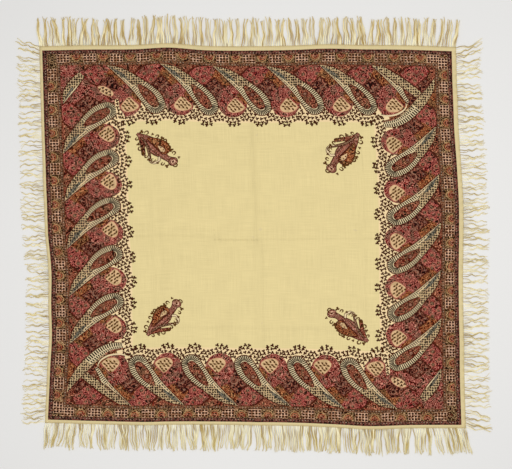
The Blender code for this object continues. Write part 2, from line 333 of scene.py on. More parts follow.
@dataclass
class PrintDesign:
    """The whole print as outlines in painting order.

    Args:
        repeats: for each kind of side, the first repeat's place along it, the distance between
            repeats and how many there are.
        checks: for each kind of side, the same for the small check squares of the guard band.
        frames: the depths where the outer line, the guard band, the inner line and the border start.
        shifts: how far the first and the last edge were printed off their places, across and down.
        misprints: how far right and down each side's field motif stands, its turn in degrees, its size.
        seed: the seed of the hand-set unevenness.
        patches: the outlines laid so far, as (ink, outline).
    """

    repeats: dict = field(default_factory=lambda: {"long": (84.3, 53.3, 6), "short": (104.0, 53.0, 5)})
    checks: dict = field(default_factory=lambda: {"long": (20.6, 26.6, 15), "short": (14.1, 26.45, 15)})
    frames: tuple = (0.0, 4.2, 14.4, 17.6)
    shifts: tuple = ((-1.1, -0.8), (1.1, 1.3))
    misprints: dict = field(
        default_factory=lambda: {
            Side.TOP: ((-2.3, 3.0), 1.5, 1.0),
            Side.RIGHT: ((1.0, 4.6), -4.8, 1.04),
            Side.BOTTOM: ((-0.4, -1.6), -2.6, 0.98),
            Side.LEFT: ((0.0, 3.2), 0.0, 0.97),
        }
    )
    seed: int = 5
    patches: list = field(default_factory=list)

    FADE = 100
    FILL_DEPTH, LAST_SPRIG, FIELD_DEPTH = 40, 81.8, 81
    COVER_POINTS, COVER_SIZE = 12, 9
    DOT_ROWS, DOT_PITCH = ((2.7, 0.80), (15.9, 0.85)), 2.9
    # The sprigs' first and last depths and row pitch, and the pitch and size in these rows and the last
    SPRIG_ROWS, SPRIG_SETS = (53.8, 80.0, 3.6), ((4.0, 1.82), (4.6, 1.95))
    # Where the rows start to rise and fall, by how much in the last row, and where a crest is
    SCALLOP_START, SCALLOP, CREST = 66, 2.2, 1.6
    UNEVEN, TURNING = 0.45, 0.7

    def add(self, ink: Inks, outline: Array, side: Side = Side.TOP) -> None:
        """Lays one outline, in (along, depth) of a side, over all those before it."""
        self.patches.append((ink, self.divided(self.turned(np.asarray(outline, float), side))))

    def strip(self, ink: Inks, near: float, far: float, side: Side) -> None:
        """Lays the strip between two depths along a whole side, mitred at both ends."""
        self.add(ink, [(near, near), (STEPS - near, near), (STEPS - far, far), (far, far)], side)

    def discs(self, side: Side, *rows: tuple) -> None:
        """Lays discs one over another, each row (ink, centre, radius, points)."""
        for ink, *disc_of in rows:
            self.add(ink, disc(*disc_of), side)

    def ribbons(self, side: Side, leaf: Leaf, *rows: tuple) -> None:
        """Lays stripes of a leaf, each row (ink, start, end, low, high, points)."""
        for ink, *stripe in rows:
            self.add(ink, leaf.ribbon(*stripe), side)

    def turned(self, points: Array, side: Side) -> Array:
        """Points in (along, depth) of a side, as (across, down) of the whole print, whose four outer
        edges were printed a little off their places: each shift fades out inwards.
        """
        s, t = points.T
        places = {
            Side.TOP: (s, t),
            Side.RIGHT: (STEPS - t, s),
            Side.BOTTOM: (STEPS - s, STEPS - t),
            Side.LEFT: (t, STEPS - s),
        }[side]
        shifted = []
        for place, (first, last) in zip(places, self.shifts):
            near, far = (np.clip(1 - depth / self.FADE, 0, 1) for depth in (place, STEPS - place))
            shifted.append(place + first * near + last * far)
        return np.stack(shifted, axis=1)

    @staticmethod
    def divided(outline: Array, longest: float = 3.4) -> Array:
        """The outline with points put into its long edges, evenly, so that it can follow the folds."""
        edge = np.roll(outline, -1, axis=0) - outline
        parts = np.maximum(1, np.ceil(np.linalg.norm(edge, axis=1) / longest).astype(int))
        start = np.repeat(np.arange(len(outline)), parts)
        share = (np.arange(parts.sum()) - np.repeat(np.cumsum(parts) - parts, parts)) / parts[start]
        return outline[start] + edge[start] * share[:, None]

    @staticmethod
    def kind(side: Side) -> str:
        """Top and bottom are long sides, left and right short ones."""
        return "long" if side in LEVEL else "short"

    def draw(self) -> list:
        """Draws the print from the ground up.

        Returns:
            A list of (ink, outline), the uppermost last.
        """
        random = np.random.default_rng(self.seed)
        for side in Side:
            self.strip(Inks.HEART, self.frames[-1], self.FILL_DEPTH, side)
        for side in LEVEL:
            self.add(Inks.CRIMSON, Chart.CORNER_MASS, side)
        for side in LEVEL + UPRIGHT:
            first, pitch, count = self.repeats[self.kind(side)]
            for number in range(count + 1):
                self.motif_ground(side, first + pitch * number, number < count)
            for number in range(count):
                self.boteh(side, first + pitch * number)
        for side in UPRIGHT:
            self.corner_boteh(side)
        for side in LEVEL:
            self.corner_patch(side)
        motifs, self.patches = self.patches, []
        covers = [
            outline
            for _, outline in motifs
            if len(outline) > self.COVER_POINTS and np.ptp(outline, axis=0).min() > self.COVER_SIZE
        ]
        self.add(Inks.WOOL, box(0, 0, STEPS, STEPS))
        for side in Side:
            self.strip(Inks.PEACH, self.FILL_DEPTH, self.FIELD_DEPTH, side)
        for side in Side:
            self.sprigs(side, random, covers)
        self.patches += motifs
        for side in Side:
            self.guard(side)
            self.field_motif(side)
        return self.patches

    def corner_boteh(self, side: Side) -> None:
        """The striped boteh that sweeps round the corner where a short side starts, and the cut-off
        one at that side's far end.
        """
        arm, sweep, cut = (Leaf(rows) for rows in (Chart.ARM, Chart.SWEEP, Chart.CUT_OFF))
        self.add(Inks.ORANGE, Chart.CORNER_FILL, side)
        shade, slope = (Inks.DIAMOND, 0.0, 0.6, -1.8, 1.0, 10), (Inks.ORANGE, 0.5, 0.9, -1.75, 1.0, 10)
        self.ribbons(side, sweep, shade, slope)
        self.ribbons(side, arm, (Inks.OUTLINE, 0.0, 1.0, -1.2, 1.2, 8), (Inks.BAND, 0.0, 1.0, -1.0, 1.0, 8))
        rim, band = (Inks.OUTLINE, 0.0, 1.0, -1.16, 1.16, 16), (Inks.BAND, 0.0, 1.0, -1.0, 1.0, 16)
        self.ribbons(side, sweep, rim, band)
        self.add(Inks.CREAM, Leaf(Chart.CRESCENT).outline(0, 3), side)
        cream, hem = (Inks.CREAM, 0.46, 1.0, -0.62, 0.94, 12), (Inks.HEART, 0.70, 1.0, -0.98, -0.62, 8)
        self.ribbons(side, sweep, cream, hem)
        for along in np.linspace(0.47, 0.965, 17):
            upper = (Inks.BAR, along, along + 0.018, 0.04, 0.92, 2)
            lower = (Inks.BAR, along + 0.012, along + 0.030, -0.58, -0.08, 2)
            self.ribbons(side, sweep, upper, lower)
        self.add(Inks.CRIMSON, Chart.FAR_CORNER, side)
        self.ribbons(side, cut, (Inks.OUTLINE, 0.0, 1.0, -1.2, 1.2, 10), (Inks.BAND, 0.0, 1.0, -1.0, 1.0, 10))
        self.ribbons(side, cut, (Inks.TEAL, 0.08, 0.5, -0.7, -0.1, 6), (Inks.CREAM, 0.0, 0.6, -1.0, -0.8, 6))

    def corner_patch(self, side: Side) -> None:
        """The small slanted cream patch inside the corner mass, and the sprigged gap beyond it."""
        self.add(Inks.DIAMOND, Chart.PATCH_SHADE, side)
        self.discs(side, (Inks.BLUSH, (67.6, 36.2), 2.6, 9), (Inks.DIAMOND, (67.9, 36.4), 1.9, 8))
        slant, middle = Chart.PATCH_SLANT, Chart.PATCH_MIDDLE
        tilt = np.array([(math.cos(slant), math.sin(slant)), (-math.sin(slant), math.cos(slant))])
        patch = disc((0, 0), 1.0, 14) * Chart.PATCH_HALF
        self.add(Inks.PINK, (patch * Chart.PATCH_RIM) @ tilt + middle, side)
        self.add(Inks.WINDOW, patch @ tilt + middle, side)
        for number, x in enumerate(np.arange(*Chart.PATCH_MARKS)):
            spot = np.array([(x, 1.5 - 3.0 * (number % 2))]) @ tilt + middle
            self.add(Inks.SPRIG, self.sprig(spot[0], Chart.PATCH_MARK_SIZE, x), side)
        self.add(Inks.PEACH, smooth_line(Chart.GAP, 3, True), side)
        for x, y in Chart.GAP_SPRIGS:
            self.add(Inks.SPRIG, self.sprig((x, y), Chart.PATCH_SPRIG_SIZE, x * y), side)

    def field_motif(self, side: Side) -> None:
        """The feathered boteh in a corner of the plain field, each one printed a little askew.

        A leaf with thin lines along it carries a looped leaf on one flank and three narrow ones on the
        other, and ends in a ring. Hooks and sprigs stand round it by turns.
        """
        (right, down), degrees, size = self.misprints[side]
        turn, (middle, depth) = math.radians(degrees), Chart.MOTIF_MIDDLE
        way = size * np.array(Chart.MOTIF_STRETCH)
        way = way @ [(math.cos(turn), math.sin(turn)), (-math.sin(turn), math.cos(turn))]

        def add(ink: Inks, outline: Array) -> None:
            """Lays one outline, stretched, turned and moved as this side's motif is."""
            self.add(ink, (outline - (middle, depth)) @ way + (middle + right, depth + down), side)

        body, hull = Leaf(Chart.BODY), Leaf(Chart.HULL)
        add(Inks.OUTLINE, body.outline(0.3, 3))
        add(Inks.FEATHER, body.outline(-0.5, 3))
        for number, across in enumerate(Chart.VEINS):
            ink = (Inks.OUTLINE, Inks.PINK)[number % 2]
            add(ink, body.ribbon(0.12, 0.86, across - 0.045, across + 0.045, 9))
        for rows, ink in zip(Chart.FLANKS, (Inks.HEART, Inks.MOSS, Inks.CREAM)):
            add(Inks.OUTLINE, Leaf(rows).outline(0.55, 3))
            add(ink, Leaf(rows).outline(0, 3))
        for ink, centre, radius, points in (
            (Inks.OUTLINE, Chart.RING, 4.6, 12),
            (Inks.FEATHER, Chart.RING, 3.9, 12),
            (Inks.CHECK, (129.6, 123.4), 2.2, 9),
            (Inks.OUTLINE, Chart.RING, 1.1, 6),
        ):
            add(ink, disc(centre, radius, points))
        for rows, ink, grow in (
            (Chart.LOOP, Inks.OUTLINE, 0.4),
            (Chart.LOOP, Inks.ORANGE, -0.5),
            (Chart.HOLLOW, Inks.OUTLINE, 0.6),
            (Chart.HOLLOW, Inks.WINDOW, 0.0),
        ):
            add(ink, Leaf(rows).outline(grow, 4))
        for place in Chart.HOLLOW_SPOTS:
            add(Inks.OUTLINE, disc(place, 0.75, 5))
        rim, out = hull.outline(0.0, 4), hull.outline(1.0, 4)
        for number in range(1, len(rim) - 1, 2):
            big = 1.1 + 0.25 * math.sin(2.3 * number)
            base, away = rim[number], out[number] - rim[number]
            along = np.array([away[1], -away[0]]) * (1 if number < len(rim) / 2 else -1)
            if number % 4 == 1:
                add(Inks.HOOK, self.sprig(base + 1.1 * away, 1.5 * big, number))
                continue
            hook = np.array([(*(base + big * (x * away + y * along)), half) for x, y, half in Chart.HOOK])
            add(Inks.HOOK, Leaf(hook, 2).outline(0, 2))

    def guard(self, side: Side) -> None:
        """The outer line, the band of checks and rosettes, and the inner line."""
        for ink, near, far in zip((Inks.MAROON, Inks.OLIVE, Inks.LINE), self.frames, self.frames[1:]):
            self.strip(ink, near, far, side)
        for depth, size in self.DOT_ROWS:
            for place in np.arange(depth, STEPS - depth, self.DOT_PITCH):
                grown = size * (0.68 + 0.32 * math.sin(1.7 * place))
                self.add(Inks.DOT, disc((place, depth), grown, 5), side)
        first, pitch, count = self.checks[self.kind(side)]
        for number in range(count):
            self.check(side, first + pitch * number)
            if number < count - 1:
                self.rosette(side, first + pitch * (number + 0.5))

    def check(self, side: Side, middle: float) -> None:
        """A square of pale lines with dark holes between them."""
        (half, near, far), (wide, deep) = Chart.CHECK, Chart.CHECK_HOLE
        self.add(Inks.CHECK, box(middle - half, near, middle + half, far), side)
        for x in Chart.CHECK_COLUMNS:
            for y in Chart.CHECK_ROWS:
                self.add(Inks.HOLE, box(middle + x - wide, y - deep, middle + x + wide, y + deep), side)

    def rosette(self, side: Side, middle: float) -> None:
        """Three nested cups that open outwards, the lowest one yellow, round a small bud."""
        bend = np.linspace(0.06 * math.pi, 0.94 * math.pi, 8)
        cup = np.stack([np.cos(bend), np.sin(bend)], axis=1)
        for ink, (wide, deep, thick) in zip((Inks.YOLK, Inks.CUP, Inks.PINK), Chart.CUPS):
            inner = cup * (wide - thick, deep - thick)
            ring = np.concatenate([cup * (wide, deep), inner[::-1]])
            self.add(ink, ring + (middle, Chart.CUP_DEPTH), side)
        self.add(Inks.OUTLINE, disc((middle, Chart.BUD_DEPTH), 1.2, 6), side)

    def sprigs(self, side: Side, random: np.random.Generator, covers: list) -> None:
        """Rows of three-leaved sprigs that fill in below and between the botehs, where nothing
        covers them. The outer rows rise over each lobe and each head: their depth adds a cosine
        with two crests in each repeat.
        """
        first, repeat, _ = self.repeats[self.kind(side)]
        rows = np.append(np.arange(*self.SPRIG_ROWS), self.LAST_SPRIG)
        for number, depth in enumerate(rows):
            last = number == len(rows) - 1
            pitch, size = self.SPRIG_SETS[last]
            places = np.arange(depth - 2 + (number % 2) * pitch / 2, STEPS - depth + 2, pitch)
            crest = np.cos(4 * math.pi * (places - first + self.CREST) / repeat)
            scallop = crest * np.interp(depth, (self.SCALLOP_START, self.LAST_SPRIG), (0, self.SCALLOP))
            centres = np.stack([places, depth + scallop], axis=1)
            centres = centres + random.uniform(-self.UNEVEN, self.UNEVEN, centres.shape)
            turns = random.uniform(-self.TURNING, self.TURNING, len(places))
            hidden = crest < 0.0 if last else np.zeros(len(places), bool)
            seen = self.turned(centres, side)
            for cover in covers:
                hidden |= self.inside(seen, cover)
            for centre, turn in zip(centres[~hidden], turns[~hidden]):
                self.add(Inks.SPRIG, self.sprig(centre, size, turn), side)

    @staticmethod
    def inside(points: Array, outline: Array) -> Array:
        """Whether each point is inside an outline: an odd number of its edges lie to the right."""
        start, end = outline, np.roll(outline, -1, axis=0)
        x, y = points[:, 0, None], points[:, 1, None]
        crosses = (start[:, 1] > y) != (end[:, 1] > y)
        rise = np.where(end[:, 1] == start[:, 1], 1.0, end[:, 1] - start[:, 1])
        meets = start[:, 0] + (y - start[:, 1]) / rise * (end[:, 0] - start[:, 0])
        return (crosses & (x < meets)).sum(axis=1) % 2 == 1

    @staticmethod
    def sprig(centre: Array, size: float, turn: float) -> Array:
        """One sprig of three blunt leaves: two far points at each leaf's end and a near one between."""
        angle = (np.arange(3)[:, None] * 120 + (-26, 26, 60)).ravel() * math.pi / 180 + turn + math.pi / 2
        radius = np.tile((1.12, 1.12, 0.50), 3) * size
        return np.stack([np.cos(angle), np.sin(angle)], axis=1) * radius[:, None] + centre

    def motif_ground(self, side: Side, place: float, whole: bool = True) -> None:
        """What lies between the botehs of one repeat: its lobes, diamond and fill.

        Args:
            side: the side of the border.
            place: where the repeat's cream window is along the side.
            whole: False for the last one, which has only the lobe above and the diamond.
        """

        def lay(ink: Inks, rows: tuple, smooth: bool = False) -> None:
            """Lays a charted outline at this repeat's place, straight or smooth."""
            points = np.array(rows, float)
            self.add(ink, (smooth_line(points, 3, True) if smooth else points) + (place, 0), side)

        lay(Inks.HEART, Chart.FILL)
        lay(Inks.OUTLINE, Chart.UPPER_RIM)
        lay(Inks.ROSE, Chart.UPPER_LOBE)
        for x, y, size in Chart.UPPER_EYES:
            for ink, inset, points in ((Inks.PINK, 0, 9), (Inks.ROSE, 0.9, 8), (Inks.MOSS, 1.5, 7)):
                self.add(ink, disc((place + x, y), size - inset, points), side)
        if whole:
            lay(Inks.ORANGE, Chart.SLOPE)
        lay(Inks.OUTLINE, Chart.DIAMOND_RIM)
        lay(Inks.DIAMOND, Chart.DIAMOND)
        for x, y in Chart.DIAMOND_SPOTS:
            self.add(Inks.BLUSH, disc((place + x, y), 1.25, 6), side)
        bud, bed = (Inks.BLUSH, (place - 16.6, 44.6), 3.8, 10), (Inks.DIAMOND, (place - 16.2, 45.2), 3.1, 9)
        self.discs(side, bud, bed)
        if not whole:
            return
        lay(Inks.CRIMSON, Chart.NECK, True)
        self.add(Inks.CRIMSON, disc((0, 0), 1.0, 26) * (14.8, 16.4) + (place - 1.8, 58.8), side)
        lay(Inks.ORANGE, Chart.SHOULDER, True)
        self.window(side, place)

    def window(self, side: Side, place: float) -> None:
        """The cream window of a lobe: a pale ring, and short slanting marks in staggered rows."""
        middle = np.array(Chart.WINDOW_MIDDLE)
        rows = np.array(Chart.WINDOW) - middle
        for ink, grown in ((Inks.PINK, Chart.WINDOW_RIM), (Inks.WINDOW, 1.0)):
            self.add(ink, smooth_line(rows * grown + middle + (place, 0), 2, True), side)
        x, y = np.meshgrid(np.arange(*Chart.MARK_COLUMNS), np.arange(*Chart.MARK_ROWS))
        x = x + (np.arange(len(x)) % 2)[:, None] * Chart.MARK_COLUMNS[2] / 2
        marks = np.stack([x.ravel(), y.ravel()], axis=1)
        marks = marks + self.UNEVEN * np.sin(marks[:, ::-1] * (7.1, 5.3) + place)
        marks = marks[self.inside(marks, smooth_line(rows * Chart.MARK_REACH + middle, 2, True))]
        half_long, half_thick = Chart.MARK
        for x, y in marks:
            turn = 0.65 + 0.45 * math.sin(3.1 * x + y + place)
            long = np.array([math.cos(turn), math.sin(turn)]) * half_long
            thick = np.array([-math.sin(turn), math.cos(turn)]) * half_thick
            self.add(Inks.HOOK, np.array([long, thick, -long, -thick]) + (x + place, y), side)

    def boteh(self, side: Side, place: float) -> None:
        """One long bent boteh: outline, dotted band, teal leaf at its tip and dark heart at its head."""
        body, heart, teal = (
            Leaf(np.array(rows) + (place, 0, 0)) for rows in (Chart.BOTEH, Chart.HEART, Chart.TEAL)
        )
        self.add(Inks.OUTLINE, body.outline(0.9), side)
        self.add(Inks.BAND, body.outline(), side)
        edge, tip = (Inks.CREAM, 0.02, 0.7, -1.0, -0.92, 8), (Inks.CREAM, 0.0, 0.44, -0.70, -0.57, 6)
        self.ribbons(side, body, edge, tip)
        head = body.hatch(0.265, 0.80, (6.6, 6.6, 4.4), 3.2, 0.0)
        self.add(Inks.CREAM, np.concatenate([head[:, 0], head[::-1, 2]]), side)
        self.add(Inks.TEAL, teal.outline(0, 3), side)
        for bar in body.hatch(0.275, 0.79, (6.8, 5.4, 4.0), 2.2, 0.68):
            self.add(Inks.BAR, bar, side)
        self.add(Inks.OUTLINE, heart.outline(0.9), side)
        self.add(Inks.HEART, heart.outline(), side)
        eye = heart.at(np.array([0.42]), 0.0)[0]
        self.discs(side, (Inks.OUTLINE, eye, 2.7, 9), (Inks.BLUSH, eye, 1.7, 7))


@dataclass
class Spread:
    """How the flat cloth lies on the floor: the same sizes and rules as the solids'.

    Cut coordinates run along the flat cloth in metres: a to the right from the panel's left edge and
    b upwards from its bottom edge.

    Args:
        width: the printed panel's width, in metres.
        height: its height, in metres.
        margin: how wide each plain margin is, in metres.
        corners: where the panel's corners lie, in mm: bottom left, bottom right, top left, top right.
        bow: rows of a share along an edge and how far the top, right, bottom and left edges bow out
            there, in mm. The share runs to the right on the top and bottom edges, and down the others.
        fold_shares: where the fold ridges cross the panel, as shares of its size.
        fold_upright: how high the upright ridges stand, in metres.
        fold_level: how high the level ridges stand.
        fold_reach: how far a ridge spreads to each side, in metres.
        waves: the side, the place along it as a share, half the length, the reach inwards and the
            height of each low wave, in mm.
        shift: how far the solids were moved to stand over the origin, in metres.
    """

    width: float = 1.648
    height: float = 1.484
    margin: dict = field(
        default_factory=lambda: {Side.TOP: 0.0140, Side.RIGHT: 0.0145, Side.BOTTOM: 0.018, Side.LEFT: 0.016}
    )
    corners: tuple = ((-828, -736), (825, -757), (-851, 740), (786, 737))
    bow: tuple = (
        (0.00, 0, 0, 0, 0),
        (0.12, 4, 0, 3, -2),
        (0.23, 6, 3, 4, -4),
        (0.30, 12, 8, 1, -6),
        (0.40, 2, 12, -1, -9),
        (0.50, 1, 10, -1, -12),
        (0.61, 4, 4, 0, -24),
        (0.69, 9, 2, 4, -20),
        (0.77, 7, 1, 9, -21),
        (0.88, 6, -1, 3, -11),
        (1.00, 0, 0, 0, 0),
    )
    fold_shares: tuple = (0.255, 0.505, 0.757)
    fold_upright: tuple = (0.0018, 0.0034, 0.0018)
    fold_level: tuple = (0.0022, 0.0038, 0.0028)
    fold_reach: float = 0.020
    waves: tuple = (
        (Side.TOP, 0.10, 95, 110, 5.0),
        (Side.TOP, 0.31, 120, 190, 8.0),
        (Side.TOP, 0.71, 150, 170, 7.0),
        (Side.BOTTOM, 0.23, 110, 120, 5.5),
        (Side.BOTTOM, 0.50, 90, 90, 4.0),
        (Side.BOTTOM, 0.78, 130, 180, 7.5),
        (Side.LEFT, 0.14, 90, 100, 4.5),
        (Side.LEFT, 0.39, 120, 170, 7.5),
        (Side.LEFT, 0.63, 100, 130, 6.0),
        (Side.RIGHT, 0.20, 90, 100, 4.5),
        (Side.RIGHT, 0.58, 140, 180, 7.0),
        (Side.RIGHT, 0.86, 90, 110, 5.0),
    )
    shift: Array = field(default_factory=lambda: np.zeros(2))

    SAMPLES = 400

    def __post_init__(self) -> None:
        """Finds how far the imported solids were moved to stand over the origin."""
        a, b = (np.linspace(0, size, self.SAMPLES) for size in (self.width, self.height))
        a, b = np.meshgrid(a, b)
        x, y, _ = self.lay(a, b)
        low = np.array(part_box("printed_panel")[0][:2])
        self.shift = low - (x.min(), y.min())

    def edge_bow(self, column: int, share: Array) -> Array:
        """How far an edge bows outwards, in metres.

        Between two rows of the table it is a cubic whose end slopes are those between the
        neighbouring rows.
        """
        table = np.array(self.bow, float)
        places, values = table[:, 0], table[:, column]
        slopes = np.gradient(values, places)
        at = np.clip(share, 0, 1)
        index = np.clip(np.searchsorted(places, at) - 1, 0, len(places) - 2)
        span = places[index + 1] - places[index]
        part = (at - places[index]) / span
        start, end = values[index], values[index + 1]
        rise = start + (end - start) * part**2 * (3 - 2 * part)
        turn = slopes[index] * part * (1 - part) ** 2 - slopes[index + 1] * part**2 * (1 - part)
        return (rise + span * turn) * MM

    @staticmethod
    def bump(distance: Array, reach: float) -> Array:
        """A smooth ridge: the squared cosine of a quarter turn over its reach, and 0 beyond."""
        return np.cos(np.clip(np.abs(distance) / reach, 0, 1) * math.pi / 2) ** 2

    def lift(self, a: Array, b: Array) -> Array:
        """How high the underside stands off the floor: the highest fold ridge plus the waves."""
        height = np.zeros(np.broadcast(a, b).shape)
        for share, upright, level in zip(self.fold_shares, self.fold_upright, self.fold_level):
            height = np.maximum(height, upright * self.bump(a - share * self.width, self.fold_reach))
            height = np.maximum(height, level * self.bump(b - share * self.height, self.fold_reach))
        for side, along, half_length, reach_in, crest in self.waves:
            run = a - along * self.width if side in LEVEL else b - along * self.height
            depths = {Side.TOP: self.height - b, Side.BOTTOM: b, Side.LEFT: a, Side.RIGHT: self.width - a}
            inwards = depths[side]
            wave = self.bump(run, half_length * MM) * self.bump(np.maximum(inwards, 0), reach_in * MM)
            height = height + crest * MM * wave
        return height

    def lay(self, a: Array, b: Array) -> tuple[Array, Array, Array]:
        """The place of cut coordinates on the floor: a blend of the four corners, moved out by the
        bows of the edges in proportion to how near each one is.

        Args:
            a: metres to the right of the panel's left edge.
            b: metres up from its bottom edge.

        Returns:
            x, y and the height of the cloth's underside.
        """
        u, v = a / self.width, b / self.height
        inside_u, inside_v = np.clip(u, 0, 1), np.clip(v, 0, 1)
        weights = ((1 - u) * (1 - v), u * (1 - v), (1 - u) * v, u * v)
        x = sum(weight * corner[0] * MM for weight, corner in zip(weights, self.corners))
        y = sum(weight * corner[1] * MM for weight, corner in zip(weights, self.corners))
        y = y + inside_v * self.edge_bow(1, inside_u) - (1 - inside_v) * self.edge_bow(3, inside_u)
        x = x + inside_u * self.edge_bow(2, 1 - inside_v) - (1 - inside_u) * self.edge_bow(4, 1 - inside_v)
        return x + self.shift[0], y + self.shift[1], self.lift(a, b)

    def edges(self) -> tuple[float, float, float, float]:
        """The sheet's left, low, right and top edges in cut coordinates, margins included."""
        left, low = -self.margin[Side.LEFT], -self.margin[Side.BOTTOM]
        return left, low, self.width + self.margin[Side.RIGHT], self.height + self.margin[Side.TOP]

    def beyond(self, side: Side, along: Array, out: Array) -> tuple[Array, Array]:
        """Cut coordinates of points outside the panel's edge, at a distance along that side."""
        along, out = np.broadcast_arrays(np.asarray(along, float), np.asarray(out, float))
        return {
            Side.TOP: (along, self.height + out),
            Side.BOTTOM: (along, -out),
            Side.LEFT: (-out, along),
            Side.RIGHT: (self.width + out, along),
        }[side]


def srgb(text: str) -> tuple[float, float, float, float]:
    """An sRGB hex colour as the linear colour that the shaders take."""
    values = [int(text[k : k + 2], 16) / 255 for k in (0, 2, 4)]
    return (*[v / 12.92 if v <= 0.04045 else ((v + 0.055) / 1.055) ** 2.4 for v in values], 1.0)


class Finish:
    """Builds one woollen material: a Principled shader and its nodes.

    Wool is matt, so its roughness is near 0.9 and it hardly mirrors anything. Its nap shows as sheen.

    Args:
        name: the material's name.
        roughness: how matt it is.
        sheen: how much nap catches the light.
    """

    SPECULAR, SHEEN_ROUGHNESS = 0.08, 0.5

    def __init__(self, name: str, roughness: float = 0.92, sheen: float = 0.05) -> None:
        """Makes the material and sets its shader."""
        self.material = bpy.data.materials.new(name)
        self.material.use_nodes = True
        self.tree = self.material.node_tree
        self.shader = self.tree.nodes["Principled BSDF"]
        for key, value in (
            ("Roughness", roughness),
            ("Specular IOR Level", self.SPECULAR),
            ("Sheen Weight", sheen),
            ("Sheen Roughness", self.SHEEN_ROUGHNESS),
        ):
            self.shader.inputs[key].default_value = value

    def node(self, kind: str, settings: dict | None = None, links: dict | None = None) -> bpy.types.Node:
        """Adds one node.

        Args:
            kind: Blender's node type.
            settings: attributes by name, or default values of inputs by their number.
            links: the output that feeds each input, by the input's name or number.

        Returns:
            The new node.
        """
        made = self.tree.nodes.new(kind)
        for key, value in (settings or {}).items():
            if isinstance(key, int):
                made.inputs[key].default_value = value
            else:
                setattr(made, key, value)
        for key, source in (links or {}).items():
            self.tree.links.new(source, made.inputs[key])
        return made

    def coloured(self, colour: Socket) -> bpy.types.Material:
        """Gives the shader its colour, and returns the finished material."""
        self.tree.links.new(colour, self.shader.inputs["Base Color"])
        return self.material


NOISE = {"noise_dimensions": "2D"}
# Uneven yarns, drawn far coarser than the real ones so that they show: the steps of noise for each mm
# across and up the cloth, and how far each kind swings the tone
YARNS = (((0.012, 0.42, 0.0), 0.045), ((0.36, 0.010, 0.0), 0.045), ((0.012, 0.012, 0.0), 0.02))

# The cutter's hand: steps of the noise that bends the marks and of the hills that curl them, for each mm,
# and how far the marks bend, in mm
WANDER, HILLS, BEND = 0.11, 0.056, (7.0, 7.0, 0.0)
# Below which value each colour shows, and how softly it ends: other patches, dark curls, pale curls
OTHER, DARK_CURL, PALE_CURL = (0.36, 0.02), (-0.45, 0.20), (-0.76, 0.16)
LINE_SOFT, SPOT_SOFT = 0.04, 0.05


def ink_material(ink: Ink) -> bpy.types.Material:
    """Thin woven wool, block-printed in one colour: matt, with the small marks of its hand-cut block.

    The marks are spots round scattered points and pale lines half way between them, both bent by
    a noise of 9 mm hills as the cutter's hand would. An ink with curls follows the heights of 18 mm
    hills instead: dark where the sine of the scaled height is low, pale where it is high.
    """
    finish = Finish(ink.name)
    node = finish.node
    uv = node("ShaderNodeUVMap", {"uv_map": "Print"}).outputs[0]
    wander = node("ShaderNodeTexNoise", {**NOISE, 2: WANDER, 3: 1.0}, {0: uv}).outputs[1]
    bend = {"operation": "MULTIPLY_ADD", 1: BEND}
    bent = node("ShaderNodeVectorMath", bend, {0: wander, 2: uv}).outputs[0]
    colour = node("ShaderNodeRGB").outputs[0]
    colour.default_value = srgb(ink.ground)
    cells = {"voronoi_dimensions": "2D", 2: 1.0 / ink.pitch, 8: ink.jitter}
    spots = node("ShaderNodeTexVoronoi", cells, {0: bent})

    def laid_over(below: Socket, hexed: str, value: Socket, edge: float, soft: float) -> Socket:
        """Lays a colour over the one below wherever a value is under an edge, softly."""
        mask = node("ShaderNodeMapRange", {1: edge + soft, 2: edge - soft, 3: 0.0, 4: 1.0}, {0: value})
        mix = node("ShaderNodeMix", {"data_type": "RGBA", 7: srgb(hexed)}, {0: mask.outputs[0], 6: below})
        return mix.outputs[2]

    if ink.other:
        which = node("ShaderNodeSeparateColor", {}, {0: spots.outputs[1]}).outputs[0]
        colour = laid_over(colour, ink.other, which, *OTHER)
    if ink.curls:
        hills = node("ShaderNodeTexNoise", {**NOISE, 2: HILLS, 3: 1.0}, {0: uv}).outputs[0]
        scale = {"operation": "MULTIPLY", 1: 2 * math.pi * ink.curls}
        rise = node("ShaderNodeMath", scale, {0: hills}).outputs[0]
        bands = node("ShaderNodeMath", {"operation": "SINE"}, {0: rise}).outputs[0]
        colour = laid_over(colour, ink.marks, bands, *DARK_CURL)
        raised = node("ShaderNodeMath", {"operation": "MULTIPLY", 1: -1.0}, {0: bands}).outputs[0]
        return woven(finish, laid_over(colour, ink.veins, raised, *PALE_CURL), uv)
    if ink.veins:
        edges = node("ShaderNodeTexVoronoi", {**cells, "feature": "DISTANCE_TO_EDGE"}, {0: bent}).outputs[0]
        colour = laid_over(colour, ink.veins, edges, ink.line, LINE_SOFT)
    if ink.marks:
        colour = laid_over(colour, ink.marks, spots.outputs[0], ink.spot, SPOT_SOFT)
    return woven(finish, colour, uv)


def woven(finish: Finish, colour: Socket, uv: Socket) -> bpy.types.Material:
    """Lays a colour on woven wool: thicker and thinner yarns show as faint streaks both ways, and
    old folds are a little darker: painted shade along the creases, with some dirt.
    """
    node = finish.node
    # Painted shade along the creases, with some dirt, darkens every ink here
    fold_shade_and_dirt = node("ShaderNodeAttribute", {"attribute_name": "fold_shade_and_dirt"}).outputs[2]
    tone = node("ShaderNodeMath", {"operation": "SUBTRACT", 0: 1.0}, {1: fold_shade_and_dirt}).outputs[0]
    for stretch, swing in YARNS:
        scaled = node("ShaderNodeVectorMath", {"operation": "MULTIPLY", 1: stretch}, {0: uv}).outputs[0]
        streak = node("ShaderNodeTexNoise", {**NOISE, 2: 1.0, 3: 2.0}, {0: scaled}).outputs[0]
        limits = {1: 0.25, 2: 0.75, 3: 1 - swing, 4: 1 + swing}
        swung = node("ShaderNodeMapRange", limits, {0: streak}).outputs[0]
        tone = node("ShaderNodeMath", {"operation": "MULTIPLY"}, {0: tone, 1: swung}).outputs[0]
    return finish.coloured(node("ShaderNodeHueSaturation", {}, {"Color": colour, "Value": tone}).outputs[0])


